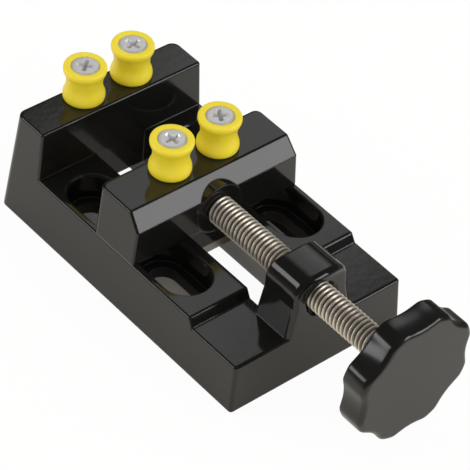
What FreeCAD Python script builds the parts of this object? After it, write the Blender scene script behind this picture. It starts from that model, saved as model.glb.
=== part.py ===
import FreeCAD, Part
import math
import os

import Sketcher
from FreeCAD import Placement, Rotation, Vector

# Small flat bench vise: a hollow cast base with a fixed jaw at the rear, a jaw that slides on the
# base's two rails, a lead screw with a lobed knob, and four plastic pegs screwed onto the jaws.
# X is the width, Y the length with the knob at -Y, Z is up and z = 0 is the plane the base stands on.

os.makedirs("parts", exist_ok=True)
doc = FreeCAD.newDocument("bench_vise")
sheet = doc.addObject("Spreadsheet::Sheet", "Sizes")

SIZES = {
    # base casting
    "base_width": 56.0,
    "base_length": 94.5,
    "base_corner": 2.5,
    "front_corner": 0.9,
    "side_draft": 3.8,
    "front_draft": 3.2,
    "rear_draft": 5.3,
    "base_wall": 3.0,
    "pad_height": 14.2,
    "rail_height": 16.8,
    "rail_start": 19.0,
    "ramp_run": 1.4,
    "slot_width": 16.0,
    "rim_wall": 2.6,
    "rim_height": 6.0,
    "deck_wall": 3.0,
    "edge_round": 0.7,
    "rim_chamfer": 0.5,
    # fixed jaw
    "jaw_face": 80.1,
    "jaw_lean": 0.4,
    "jaw_height": 31.2,
    "jaw_roof": 4.2,
    # lug that the screw runs through
    "lug_depth": 13.2,
    "lug_height": 29.9,
    "lug_top_width": 17.4,
    "lug_foot_width": 21.2,
    "lug_spread": 12.4864,
    "lug_round": 4.2,
    "lug_front_round": 1.5,
    "lug_rear_round": 0.7,
    # bench bolt pockets
    "pocket_width": 13.3,
    "pocket_length": 21.3,
    "pocket_depth": 7.5,
    "pocket_first": 35.15,
    "pocket_spacing": 29.4,
    "pocket_side_set": 9.8,
    "bolt_slot_width": 8.4,
    "bolt_slot_length": 16.4,
    # moving jaw
    "mover_front": 41.2,
    "mover_depth": 16.2,
    "mover_width": 54.0,
    "mover_top_width": 51.4,
    "mover_top": 31.8,
    "chamfer_start": 27.1,
    "chamfer_run": 3.8,
    "rail_gap": 0.15,
    "boss_radius": 7.3,
    "boss_stand": 0.6,
    "tongue_set": 4.0,
    "tongue_length": 11.0,
    "tongue_gap": 0.25,
    "tongue_floor": 5.6,
    "core_start": 11.6,
    "core_width": 12.0,
    "core_set": 3.2,
    "core_roof": 4.0,
    # keeper plate under the rails
    "plate_width": 28.0,
    "plate_thick": 2.6,
    "plate_corner": 2.0,
    "plate_screw_radius": 1.25,
    "plate_screw_head": 2.4,
    "plate_screw_length": 10.0,
    "plate_screw_across": 10.0,
    "plate_screw_set": 8.2,
    # lead screw and knob
    "screw_height": 22.7,
    "screw_radius": 3.5,
    "fit_gap": 0.08,
    "sink_radius": 5.2,
    "shank_seat": 6.4,
    "journal_radius": 2.7,
    "journal_length": 6.6,
    "groove_radius": 1.9,
    "groove_width": 2.6,
    "groove_set": 1.8,
    "pin_radius": 1.2,
    "pin_length": 20.0,
    "hex_width": 11.0,
    "hex_depth": 4.0,
    "knob_reach": 33.0,
    "knob_thick": 7.8,
    "knob_radius": 18.4,
    "knob_lobes": 8,
    "flute_radius": 12.0,
    "flute_depth": 1.5,
    "flute_round": 3.0,
    "knob_chamfer": 1.0,
    "knob_rear_chamfer": 0.6,
    "knob_web": 2.4,
    "knob_phase": 1.5,
    # pegs and their screws
    "peg_across": 15.5,
    "fixed_peg_set": 87.0,
    "moving_peg_set": 10.6,
    "peg_height": 10.3,
    "peg_base_radius": 5.5,
    "peg_base_top": 2.2,
    "peg_waist_radius": 4.75,
    "peg_waist_height": 4.7,
    "peg_flange_radius": 5.7,
    "peg_flange_start": 6.6,
    "peg_rim_chamfer": 0.5,
    "peg_bore_radius": 2.2,
    "peg_screw_radius": 2.0,
    "peg_screw_head": 3.7,
    "peg_screw_length": 17.1,
    "tap_gap": 0.02,
}
for row, (alias, number) in enumerate(SIZES.items(), start=1):
    sheet.set(f"A{row}", alias)
    sheet.set(f"B{row}", str(number))
    sheet.setAlias(f"B{row}", alias)
doc.recompute()


class Size:
    """A dimension that carries its value and the sheet expression that drives it."""

    def __init__(self, value, text):
        self.value = value
        self.text = text

    def join(self, other, sign, flip=False):
        other = other if isinstance(other, Size) else Size(other, str(other))
        left, right = (other, self) if flip else (self, other)
        results = {
            "+": lambda: left.value + right.value,
            "-": lambda: left.value - right.value,
            "*": lambda: left.value * right.value,
            "/": lambda: left.value / right.value,
        }
        return Size(results[sign](), f"({left.text} {sign} {right.text})")

    def __add__(self, other):
        return self.join(other, "+")

    def __radd__(self, other):
        return self.join(other, "+", flip=True)

    def __sub__(self, other):
        return self.join(other, "-")

    def __rsub__(self, other):
        return self.join(other, "-", flip=True)

    def __mul__(self, other):
        return self.join(other, "*")

    def __truediv__(self, other):
        return self.join(other, "/")

    def __neg__(self):
        return self.join(-1, "*")


class Sheet:
    """Reads sheet dimensions by name, as in size.base_width."""

    def __getattr__(self, alias):
        return Size(SIZES[alias], f"Sizes.{alias}")


size = Sheet()
ZERO = Size(0.0, "0")


def degrees_of(function, text, angle):
    return Size(function(math.radians(angle.value)), f"{text}({angle.text})")


def smaller_of(first, second):
    return Size(min(first.value, second.value), f"min({first.text}; {second.text})")


front_slope = degrees_of(math.tan, "tan", size.front_draft)

# Stations along Y. The whole vise, knob included, is centred on y = 0.
front = (size.knob_reach - size.base_length) / 2
rear = front + size.base_length
jaw_face = front + size.jaw_face
lug_rear = front + size.lug_depth
mover_front = front + size.mover_front
mover_rear = mover_front + size.mover_depth
mover_floor = size.rail_height + size.rail_gap
tongue_front = mover_front + size.tongue_set
tongue_rear = tongue_front + size.tongue_length
plate_floor = size.tongue_floor - size.plate_thick
knob_front = front - size.knob_reach
knob_rear = knob_front + size.knob_thick
boss_front = mover_front - size.boss_stand
shank_tip = mover_front + size.shank_seat
journal_tip = shank_tip + size.journal_length
groove_front = shank_tip + size.groove_set
groove_rear = groove_front + size.groove_width
half_width = size.base_width / 2
half_slot = size.slot_width / 2

ROOM = 2.0


def bind(thing, prop, amount):
    """Set a property and tie it to the sheet."""
    if "." not in prop:
        setattr(thing, prop, amount.value)
    thing.setExpression(prop, amount.text)


def new_body(label):
    body = doc.addObject("PartDesign::Body", label)
    body.Label = label
    return body


def origin_item(body, role):
    return next(item for item in body.Origin.OriginFeatures if item.Role == role)


def new_sketch(body, name, plane, at=ZERO):
    """Sketch on an origin plane of the body, moved along that plane's normal to the station at."""
    sketch = body.newObject("Sketcher::SketchObject", name)
    sketch.AttachmentSupport = [(origin_item(body, plane), "")]
    sketch.MapMode = "FlatFace"
    shift = -at if plane == "XZ_Plane" else at
    sketch.AttachmentOffset = Placement(Vector(0, 0, shift.value), Rotation())
    if at is not ZERO:
        sketch.setExpression(".AttachmentOffset.Base.z", shift.text)
    return sketch


def pin_point(sketch, geometry, vertex, across, up):
    """Fix a sketch point by its distances from the sketch origin."""
    for kind, axis, amount in (("DistanceX", -2, across), ("DistanceY", -1, up)):
        if amount is ZERO:
            sketch.addConstraint(Sketcher.Constraint("PointOnObject", geometry, vertex, axis))
        else:
            rule = Sketcher.Constraint(kind, -1, 1, geometry, vertex, amount.value)
            index = sketch.addConstraint(rule)
            sketch.setExpression(f"Constraints[{index}]", amount.text)


def set_radius(sketch, geometry, amount):
    index = sketch.addConstraint(Sketcher.Constraint("Radius", geometry, amount.value))
    sketch.setExpression(f"Constraints[{index}]", amount.text)


def draw_outline(sketch, corners):
    """Closed polygon whose corners are pairs of sizes."""
    places = [Vector(across.value, up.value, 0) for across, up in corners]
    first = sketch.GeometryCount
    for index, place in enumerate(places):
        following = places[(index + 1) % len(places)]
        sketch.addGeometry(Part.LineSegment(place, following), False)
    for index in range(len(places)):
        following = first + (index + 1) % len(places)
        sketch.addConstraint(Sketcher.Constraint("Coincident", first + index, 2, following, 1))
    for index, (across, up) in enumerate(corners):
        pin_point(sketch, first + index, 1, across, up)


def draw_box(sketch, low, high):
    (left, bottom), (right, top) = low, high
    draw_outline(sketch, [(left, bottom), (right, bottom), (right, top), (left, top)])


def draw_circle(sketch, across, up, radius):
    place = Vector(across.value, up.value, 0)
    ring = sketch.addGeometry(Part.Circle(place, Vector(0, 0, 1), radius.value), False)
    pin_point(sketch, ring, 3, across, up)
    set_radius(sketch, ring, radius)


def draw_obround(sketch, across, up, width, length):
    """Slot outline with round ends, long in the sketch's second direction."""
    radius = width / 2
    reach = (length - width) / 2
    middle_x = across.value
    low = Vector(middle_x, up.value - reach.value, 0)
    high = Vector(middle_x, up.value + reach.value, 0)
    side = Vector(radius.value, 0, 0)
    normal = Vector(0, 0, 1)
    top = sketch.addGeometry(Part.ArcOfCircle(Part.Circle(high, normal, radius.value), 0, math.pi), False)
    left = sketch.addGeometry(Part.LineSegment(high - side, low - side), False)
    bottom = sketch.addGeometry(
        Part.ArcOfCircle(Part.Circle(low, normal, radius.value), math.pi, 2 * math.pi), False
    )
    right = sketch.addGeometry(Part.LineSegment(low + side, high + side), False)
    ring = [top, left, bottom, right]
    for index, piece in enumerate(ring):
        following = ring[(index + 1) % len(ring)]
        sketch.addConstraint(Sketcher.Constraint("Tangent", piece, 2, following, 1))
    sketch.addConstraint(Sketcher.Constraint("Equal", top, bottom))
    pin_point(sketch, top, 3, across, up + reach)
    pin_point(sketch, bottom, 3, across, up - reach)
    set_radius(sketch, top, radius)


def volume_of(feature):
    return feature.Shape.Volume


def extrude(body, kind, sketch, name, length, reverse=False, both=False):
    """Pad or Pocket of a sketch, checked to have changed the body's volume the right way."""
    before = body.Tip
    feature = body.newObject(f"PartDesign::{kind}", name)
    feature.Profile = sketch
    bind(feature, "Length", length)
    feature.Reversed = reverse
    feature.SideType = "Symmetric" if both else "One side"
    doc.recompute()
    old = volume_of(before) if before else 0.0
    grew = volume_of(feature) > old + 1e-6
    shrank = volume_of(feature) < old - 1e-6
    if (kind == "Pad" and not grew) or (kind == "Pocket" and not shrank):
        raise RuntimeError(f"{name} did not change {body.Label}")
    return feature


def turn(body, kind, sketch, name):
    """Revolution or Groove of a sketch about its own construction line."""
    before = body.Tip
    old = volume_of(before) if before else 0.0
    feature = body.newObject(f"PartDesign::{kind}", name)
    feature.Profile = sketch
    feature.ReferenceAxis = (sketch, ["Axis0"])
    feature.Angle = 360
    doc.recompute()
    if abs(volume_of(feature) - old) < 1e-6:
        raise RuntimeError(f"{name} did not change {body.Label}")
    return feature


def add_axis_line(sketch, start, end):
    """Construction line that a Revolution or Groove turns about."""
    first = Vector(start[0].value, start[1].value, 0)
    last = Vector(end[0].value, end[1].value, 0)
    line = sketch.addGeometry(Part.LineSegment(first, last), True)
    pin_point(sketch, line, 1, *start)
    pin_point(sketch, line, 2, *end)


def pick_edges(feature, wanted):
    """Names of the feature's edges for which wanted(first end, last end, edge) holds."""
    names = []
    for number, edge in enumerate(feature.Shape.Edges, start=1):
        ends = [vertex.Point for vertex in edge.Vertexes]
        if wanted(ends[0], ends[-1], edge):
            names.append(f"Edge{number}")
    if not names:
        raise RuntimeError(f"no edges found on {feature.Label}")
    return names


def round_edges(body, name, wanted, radius):
    base = body.Tip
    feature = body.newObject("PartDesign::Fillet", name)
    feature.Base = (base, pick_edges(base, wanted))
    bind(feature, "Radius", radius)
    doc.recompute()
    return feature


def chamfer_edges(body, name, wanted, width):
    base = body.Tip
    feature = body.newObject("PartDesign::Chamfer", name)
    feature.Base = (base, pick_edges(base, wanted))
    bind(feature, "Size", width)
    doc.recompute()
    return feature


def draft_faces(body, name, wanted, angle):
    """Lean faces inwards about the plane the body stands on."""
    base = body.Tip
    names = [
        f"Face{number}"
        for number, face in enumerate(base.Shape.Faces, start=1)
        if wanted(face.normalAt(0, 0))
    ]
    feature = body.newObject("PartDesign::Draft", name)
    feature.Base = (base, names)
    bind(feature, "Angle", angle)
    feature.NeutralPlane = (origin_item(body, "XY_Plane"), [""])
    doc.recompute()
    if volume_of(feature) >= volume_of(base):
        raise RuntimeError(f"{name} did not change {body.Label}")


def near(first, second, slack=0.02):
    return abs(first - second) < slack


# Base casting: one drafted block, cut down to the front pad and the rails, hollow from below.
base = new_body("base_casting")
footprint = new_sketch(base, "footprint", "XY_Plane")
draw_box(footprint, (-half_width, front), (half_width, rear))
extrude(base, "Pad", footprint, "block", size.jaw_height)
draft_faces(base, "side_drafts", lambda normal: abs(normal.x) > 0.9, size.side_draft)
draft_faces(base, "front_draft", lambda normal: normal.y < -0.9, size.front_draft)
draft_faces(base, "rear_draft", lambda normal: normal.y > 0.9, size.rear_draft)


def is_upright(low, high, edge):
    return abs(low.z - high.z) > 1.0


round_edges(
    base,
    "rear_corners",
    lambda low, high, edge: is_upright(low, high, edge) and low.y > 0,
    size.base_corner,
)
round_edges(
    base,
    "front_corners",
    lambda low, high, edge: is_upright(low, high, edge) and low.y < 0,
    size.front_corner,
)

above = size.jaw_height + ROOM
step_side = new_sketch(base, "step_side", "YZ_Plane")
draw_outline(
    step_side,
    [
        (front - ROOM, above),
        (front - ROOM, size.pad_height),
        (front + size.rail_start - size.ramp_run, size.pad_height),
        (front + size.rail_start, size.rail_height),
        (jaw_face, size.rail_height),
        (jaw_face + size.jaw_lean, above),
    ],
)
extrude(base, "Pocket", step_side, "rail_step", size.base_width * 2, both=True)

# Lug: an arch on a spread foot, flush with the base's front, that holds the screw's thread.
spread_reach = (size.lug_foot_width - size.lug_top_width) / 2
spread_top = size.pad_height + spread_reach / degrees_of(math.tan, "tan", size.lug_spread)
lug_face = new_sketch(base, "lug_face", "XZ_Plane", front)
draw_outline(
    lug_face,
    [
        (size.lug_foot_width / 2, size.pad_height),
        (size.lug_top_width / 2, spread_top),
        (size.lug_top_width / 2, size.lug_height),
        (-size.lug_top_width / 2, size.lug_height),
        (-size.lug_top_width / 2, spread_top),
        (-size.lug_foot_width / 2, size.pad_height),
    ],
)
extrude(base, "Pad", lug_face, "lug", size.lug_depth, reverse=True)

lean_side = new_sketch(base, "lean_side", "YZ_Plane")
lug_crest = size.lug_height + ROOM
draw_outline(
    lean_side,
    [
        (front - ROOM, size.pad_height),
        (front + front_slope * size.pad_height, size.pad_height),
        (front + front_slope * lug_crest, lug_crest),
        (front - ROOM, lug_crest),
    ],
)
extrude(base, "Pocket", lean_side, "lug_front_lean", size.lug_foot_width * 2, both=True)


def both_near(low, high, letter, amount):
    return near(getattr(low, letter), amount.value) and near(getattr(high, letter), amount.value)


def spans(low, high, bottom, top):
    """True for an edge that climbs from one level to another."""
    return near(min(low.z, high.z), bottom.value) and near(max(low.z, high.z), top.value)


def from_axis(point):
    return math.hypot(point.x, point.z - size.screw_height.value)


def is_lug_arch(low, high):
    """True for an edge of the lug's outline, above the pad and clear of the bore."""
    above = min(low.z, high.z) > size.pad_height.value - 0.1
    clear = min(from_axis(low), from_axis(high)) > size.sink_radius.value + 0.5
    on_lug = max(abs(low.x), abs(high.x)) < (size.lug_foot_width / 2).value + 0.1
    return above and clear and on_lug


def is_lug_front(low, high, edge):
    leaning = all(near(point.y, (front + front_slope * point.z).value) for point in (low, high))
    return leaning and is_lug_arch(low, high)


def is_lug_rear(low, high, edge):
    upright = both_near(low, high, "y", lug_rear) and not both_near(low, high, "z", size.pad_height)
    return upright and is_lug_arch(low, high)


def is_lug_shoulder(low, high, edge):
    return both_near(low, high, "z", size.lug_height) and near(low.x, high.x)


shoulder_wall = size.lug_height - spread_top - size.fit_gap
round_edges(base, "lug_shoulders", is_lug_shoulder, smaller_of(size.lug_round, shoulder_wall))
round_edges(base, "lug_front_rim", is_lug_front, size.lug_front_round)
round_edges(base, "lug_rear_rim", is_lug_rear, size.lug_rear_round)

# Slot that the moving jaw's tongue runs in, closed by the lug in front and the fixed jaw behind.
slot_plan = new_sketch(base, "slot_plan", "XY_Plane")
draw_box(slot_plan, (-half_slot, lug_rear), (half_slot, jaw_face))
extrude(base, "Pocket", slot_plan, "slot", size.rail_height + ROOM, reverse=True)

# Underside: open within the outer wall up to the rim height, and cored deeper at both ends.
inner_x = half_width - size.base_wall
inner_front = front + size.base_wall
inner_rear = rear - size.base_wall
under_plan = new_sketch(base, "under_plan", "XY_Plane")
draw_box(under_plan, (-inner_x, inner_front), (inner_x, inner_rear))
extrude(base, "Pocket", under_plan, "underside", size.rim_height, reverse=True)

core_top = size.pad_height - size.deck_wall
rim_x = half_slot + size.rim_wall
front_core_end = front + size.pocket_first - size.pocket_length / 2 - size.rim_wall
front_cores = new_sketch(base, "front_cores", "XY_Plane", size.rim_height)
draw_box(front_cores, (-inner_x, inner_front), (-rim_x, front_core_end))
draw_box(front_cores, (rim_x, inner_front), (inner_x, front_core_end))
extrude(base, "Pocket", front_cores, "front_coring", core_top - size.rim_height, reverse=True)

jaw_core_front = jaw_face + size.base_wall
jaw_core_rear = inner_rear - size.base_wall / 3
jaw_core_x = inner_x - size.base_wall / 3
peg_x = size.peg_across / 2
fixed_peg_y = front + size.fixed_peg_set
jaw_core = new_sketch(base, "jaw_core", "XY_Plane", size.rim_height)
draw_box(jaw_core, (-jaw_core_x, jaw_core_front), (-peg_x - size.deck_wall * 1.4, jaw_core_rear))
draw_box(jaw_core, (peg_x + size.deck_wall * 1.4, jaw_core_front), (jaw_core_x, jaw_core_rear))
jaw_core_depth = size.jaw_height - size.jaw_roof - size.rim_height
extrude(base, "Pocket", jaw_core, "jaw_coring", jaw_core_depth, reverse=True)

# Four bench bolt pockets: a deep recess for the bolt's head and a narrower slot through its floor.
pocket_x = half_width - size.pocket_side_set
first_y = front + size.pocket_first
pocket_spots = [
    (side, station)
    for side in (-pocket_x, pocket_x)
    for station in (first_y, first_y + size.pocket_spacing)
]
recess_plan = new_sketch(base, "recess_plan", "XY_Plane", size.rail_height)
bolt_plan = new_sketch(base, "bolt_plan", "XY_Plane", size.rail_height)
for side, station in pocket_spots:
    draw_obround(recess_plan, side, station, size.pocket_width, size.pocket_length)
    draw_obround(bolt_plan, side, station, size.bolt_slot_width, size.bolt_slot_length)
extrude(base, "Pocket", recess_plan, "bolt_recesses", size.pocket_depth)
extrude(base, "Pocket", bolt_plan, "bolt_slots", size.rail_height)

# Screw bore through the lug with a wide countersink at its mouth.
bore_radius = size.screw_radius + size.fit_gap
bore_face = new_sketch(base, "bore_face", "XZ_Plane", front - ROOM)
draw_circle(bore_face, ZERO, size.screw_height, bore_radius)
extrude(base, "Pocket", bore_face, "screw_bore", size.lug_depth + ROOM * 2)

sink_side = new_sketch(base, "sink_side", "YZ_Plane")
sink_depth = size.sink_radius - bore_radius
lug_front = front + front_slope * size.screw_height
draw_outline(
    sink_side,
    [
        (front - ROOM, size.screw_height),
        (front - ROOM, size.screw_height + size.sink_radius),
        (lug_front, size.screw_height + size.sink_radius),
        (lug_front + sink_depth, size.screw_height + bore_radius),
        (lug_front + sink_depth, size.screw_height),
    ],
)
add_axis_line(sink_side, (front - ROOM, size.screw_height), (rear, size.screw_height))
turn(base, "Groove", sink_side, "bore_countersink")

# Tapped holes for the fixed jaw's peg screws.
tap_radius = size.peg_screw_radius + size.tap_gap
tap_depth = size.peg_screw_length - size.peg_height + ROOM
fixed_taps = new_sketch(base, "fixed_taps", "XY_Plane", size.jaw_height)
for side in (-peg_x, peg_x):
    draw_circle(fixed_taps, side, fixed_peg_y, tap_radius)
extrude(base, "Pocket", fixed_taps, "peg_taps", tap_depth)


def is_base_rim(low, high, edge):
    """Outward edges of the jaw's, rails', ramp's and pad's tops."""
    jaw_top = both_near(low, high, "z", size.jaw_height) and not isinstance(edge.Curve, Part.Circle)
    jaw_corner = spans(low, high, size.rail_height, size.jaw_height)
    rail_level = both_near(low, high, "z", size.rail_height)
    rail_end = both_near(low, high, "y", jaw_face)
    rail_top = rail_level and not rail_end and not is_recess_rim(low, high, edge)
    ramp_side = spans(low, high, size.pad_height, size.rail_height)
    ramp_foot = front + size.rail_start - size.ramp_run
    pad_top = both_near(low, high, "z", size.pad_height) and not both_near(low, high, "y", ramp_foot)
    beside_lug = min(abs(low.x), abs(high.x)) > (size.lug_foot_width / 2).value + 0.1
    slot_side = both_near(low, high, "x", half_slot) or both_near(low, high, "x", -half_slot)
    pad_rim = pad_top and (beside_lug or slot_side)
    return jaw_top or jaw_corner or rail_top or ramp_side or pad_rim


def is_recess_rim(low, high, edge):
    recess = size.pocket_width.value / 2
    across = [abs(abs(point.x) - pocket_x.value) for point in (low, high)]
    return both_near(low, high, "z", size.rail_height) and max(across) < recess + 0.1


round_edges(base, "rim_rounds", is_base_rim, size.edge_round)
chamfer_edges(base, "recess_rims", is_recess_rim, size.rim_chamfer)

# Moving jaw: full-width block with a chamfered front, a round boss for the screw and a tongue below.
mover = new_body("moving_jaw")
mover_side = new_sketch(mover, "mover_side", "YZ_Plane")
draw_outline(
    mover_side,
    [
        (mover_front, mover_floor),
        (mover_front, size.chamfer_start),
        (mover_front + size.chamfer_run, size.mover_top),
        (mover_rear, size.mover_top),
        (mover_rear, mover_floor),
    ],
)
extrude(mover, "Pad", mover_side, "mover_block", size.mover_width + ROOM * 4, both=True)

end_face = new_sketch(mover, "end_face", "XZ_Plane")
end_low = size.mover_width / 2
end_high = size.mover_top_width / 2
for sign in (-1, 1):
    draw_outline(
        end_face,
        [
            (end_low * sign, mover_floor),
            (end_high * sign, size.mover_top),
            ((end_low + ROOM * 4) * sign, size.mover_top),
            ((end_low + ROOM * 4) * sign, mover_floor),
        ],
    )
extrude(mover, "Pocket", end_face, "end_draft", size.base_length * 2, both=True)


def is_rear_corner(low, high, edge):
    return near(low.y, mover_rear.value) and near(high.y, mover_rear.value) and abs(low.z - high.z) > 5


round_edges(mover, "rear_corners", is_rear_corner, size.plate_corner)


def is_mover_rim(low, high, edge):
    """Top outline, chamfer ends and front corners of the jaw block."""
    front_corner = both_near(low, high, "y", mover_front) and spans(low, high, mover_floor, size.chamfer_start)
    chamfer_end = spans(low, high, size.chamfer_start, size.mover_top)
    return both_near(low, high, "z", size.mover_top) or chamfer_end or front_corner


round_edges(mover, "rim_rounds", is_mover_rim, size.edge_round)

boss_face = new_sketch(mover, "boss_face", "XZ_Plane", boss_front)
draw_circle(boss_face, ZERO, size.screw_height, size.boss_radius)
extrude(mover, "Pad", boss_face, "boss", size.boss_stand + size.chamfer_run + ROOM, reverse=True)

tongue_x = half_slot - size.tongue_gap
tongue_plan = new_sketch(mover, "tongue_plan", "XY_Plane", size.tongue_floor)
draw_box(tongue_plan, (-tongue_x, tongue_front), (tongue_x, tongue_rear))
extrude(mover, "Pad", tongue_plan, "tongue", mover_floor - size.tongue_floor + ROOM)

core_plan = new_sketch(mover, "core_plan", "XY_Plane", mover_floor)
core_far = size.core_start + size.core_width
for sign in (-1, 1):
    draw_box(
        core_plan,
        (size.core_start * sign, mover_front + size.core_set),
        (core_far * sign, mover_rear - size.core_set),
    )
core_depth = size.mover_top - size.core_roof - mover_floor
extrude(mover, "Pocket", core_plan, "coring", core_depth, reverse=True)

mover_bore = new_sketch(mover, "mover_bore", "XZ_Plane", boss_front - ROOM)
draw_circle(mover_bore, ZERO, size.screw_height, bore_radius)
shank_room = ROOM + size.boss_stand + size.shank_seat + size.fit_gap
extrude(mover, "Pocket", mover_bore, "shank_bore", shank_room)
journal_bore = new_sketch(mover, "journal_bore", "XZ_Plane", boss_front - ROOM)
draw_circle(journal_bore, ZERO, size.screw_height, size.journal_radius + size.fit_gap)
extrude(mover, "Pocket", journal_bore, "journal_seat", shank_room + size.journal_length)

pin_x = size.groove_radius + size.pin_radius + size.fit_gap * 2
pin_y = (groove_front + groove_rear) / 2
pin_plan = new_sketch(mover, "pin_plan", "XY_Plane", size.tongue_floor)
draw_circle(pin_plan, pin_x, pin_y, size.pin_radius + size.tap_gap)
extrude(mover, "Pocket", pin_plan, "pin_hole", size.pin_length + size.tap_gap, reverse=True)

plate_screw_x = size.plate_screw_across / 2
plate_screw_y = tongue_front + size.plate_screw_set
plate_tap = new_sketch(mover, "plate_tap", "XY_Plane", size.tongue_floor)
for side in (-plate_screw_x, plate_screw_x):
    draw_circle(plate_tap, side, plate_screw_y, size.plate_screw_radius + size.tap_gap)
extrude(mover, "Pocket", plate_tap, "plate_taps", size.plate_screw_length, reverse=True)

moving_peg_y = mover_front + size.moving_peg_set
mover_taps = new_sketch(mover, "mover_taps", "XY_Plane", size.mover_top)
for side in (-peg_x, peg_x):
    draw_circle(mover_taps, side, moving_peg_y, tap_radius)
extrude(mover, "Pocket", mover_taps, "peg_taps", tap_depth)

# Keeper plate: screwed under the tongue, it holds the jaw down by reaching under both rails.
plate = new_body("keeper_plate")
plate_plan = new_sketch(plate, "plate_plan", "XY_Plane", plate_floor)
draw_box(plate_plan, (-size.plate_width / 2, tongue_front), (size.plate_width / 2, tongue_rear))
extrude(plate, "Pad", plate_plan, "plate", size.plate_thick)
round_edges(plate, "plate_corners", lambda low, high, edge: abs(low.z - high.z) > 1.0, size.plate_corner)
sink_drop = size.plate_screw_head - size.plate_screw_radius
for number, side in enumerate((-plate_screw_x, plate_screw_x), start=1):
    sink = new_sketch(plate, f"plate_sink_{number}", "XZ_Plane", plate_screw_y)
    draw_outline(
        sink,
        [
            (side, plate_floor - ROOM),
            (side + size.plate_screw_head, plate_floor - ROOM),
            (side + size.plate_screw_head, plate_floor),
            (side + size.plate_screw_radius, plate_floor + sink_drop),
            (side + size.plate_screw_radius, size.tongue_floor + ROOM),
            (side, size.tongue_floor + ROOM),
        ],
    )
    add_axis_line(sink, (side, plate_floor - ROOM), (side, size.tongue_floor + ROOM))
    turn(plate, "Groove", sink, f"plate_hole_{number}")


def add_keeper_screw(label, side):
    """Countersunk screw, head down, through the plate into the tongue."""
    body = new_body(label)
    half = new_sketch(body, "half_section", "XZ_Plane")
    tip = plate_floor + size.plate_screw_length
    draw_outline(
        half,
        [
            (ZERO, plate_floor),
            (size.plate_screw_head, plate_floor),
            (size.plate_screw_radius, plate_floor + sink_drop),
            (size.plate_screw_radius, tip),
            (ZERO, tip),
        ],
    )
    add_axis_line(half, (ZERO, plate_floor), (ZERO, tip))
    turn(body, "Revolution", half, "screw_solid")
    place_body(body, side, plate_screw_y, ZERO)


def place_body(body, across, along, up):
    body.Placement = Placement(Vector(across.value, along.value, up.value), Rotation())
    for letter, amount in (("x", across), ("y", along), ("z", up)):
        body.setExpression(f".Placement.Base.{letter}", amount.text)
    doc.recompute()


add_keeper_screw("keeper_screw_left", -plate_screw_x)
add_keeper_screw("keeper_screw_right", plate_screw_x)

# Lead screw: shank, turned-down journal with a groove, and a hexagon moulded into the knob.
screw = new_body("lead_screw")
hex_front = knob_front + size.knob_web
hex_rear = hex_front + size.hex_depth
screw_side = new_sketch(screw, "screw_side", "YZ_Plane")
axis_z = size.screw_height
journal_z = axis_z + size.journal_radius
draw_outline(
    screw_side,
    [
        (hex_front, axis_z),
        (hex_front, axis_z + size.screw_radius),
        (shank_tip, axis_z + size.screw_radius),
        (shank_tip, journal_z),
        (groove_front, journal_z),
        (groove_front, axis_z + size.groove_radius),
        (groove_rear, axis_z + size.groove_radius),
        (groove_rear, journal_z),
        (journal_tip, journal_z),
        (journal_tip, axis_z),
    ],
)
add_axis_line(screw_side, (hex_front, axis_z), (journal_tip, axis_z))
turn(screw, "Revolution", screw_side, "screw_solid")


def draw_hexagon(sketch, width):
    """Hexagon about the screw's axis, two flats level."""
    corner = width / math.sqrt(3)
    flat = width / 2
    draw_outline(
        sketch,
        [
            (corner, axis_z),
            (corner / 2, axis_z + flat),
            (-corner / 2, axis_z + flat),
            (-corner, axis_z),
            (-corner / 2, axis_z - flat),
            (corner / 2, axis_z - flat),
        ],
    )


hex_face = new_sketch(screw, "hex_face", "XZ_Plane", hex_front)
draw_hexagon(hex_face, size.hex_width)
extrude(screw, "Pad", hex_face, "hex_head", size.hex_depth, reverse=True)

pin = new_body("retaining_pin")
pin_round = new_sketch(pin, "pin_round", "XY_Plane", size.tongue_floor)
draw_circle(pin_round, pin_x, pin_y, size.pin_radius)
extrude(pin, "Pad", pin_round, "pin_solid", size.pin_length)

# Knob: a thick disc with shallow flutes between its lobes, moulded round the screw's hexagon.
knob = new_body("knob")
knob_face = new_sketch(knob, "knob_face", "XZ_Plane", knob_front)
draw_circle(knob_face, ZERO, axis_z, size.knob_radius)
extrude(knob, "Pad", knob_face, "knob_disc", size.knob_thick, reverse=True)
flute_face = new_sketch(knob, "flute_face", "XZ_Plane", knob_front - ROOM)
flute_reach = size.knob_radius - size.flute_depth + size.flute_radius
flute_x = -flute_reach * degrees_of(math.sin, "sin", size.knob_phase)
flute_z = axis_z + flute_reach * degrees_of(math.cos, "cos", size.knob_phase)
draw_circle(flute_face, flute_x, flute_z, size.flute_radius)
flute = extrude(knob, "Pocket", flute_face, "flute", size.knob_thick + ROOM * 2)
axis_mark = new_sketch(knob, "axis_mark", "YZ_Plane")
add_axis_line(axis_mark, (knob_front, axis_z), (knob_rear, axis_z))
flutes = knob.newObject("PartDesign::PolarPattern", "flutes")
flutes.Originals = [flute]
flutes.Axis = (axis_mark, ["Axis0"])
flutes.Angle = 360
bind(flutes, "Occurrences", size.knob_lobes)
knob.Tip = flutes
doc.recompute()


def is_flute_corner(low, high, edge):
    return near(low.x, high.x) and near(low.z, high.z) and abs(low.y - high.y) > size.knob_thick.value / 2


def is_front_rim(low, high, edge):
    return near(low.y, knob_front.value) and near(high.y, knob_front.value)


def is_rear_rim(low, high, edge):
    return near(low.y, knob_rear.value) and near(high.y, knob_rear.value)


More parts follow.
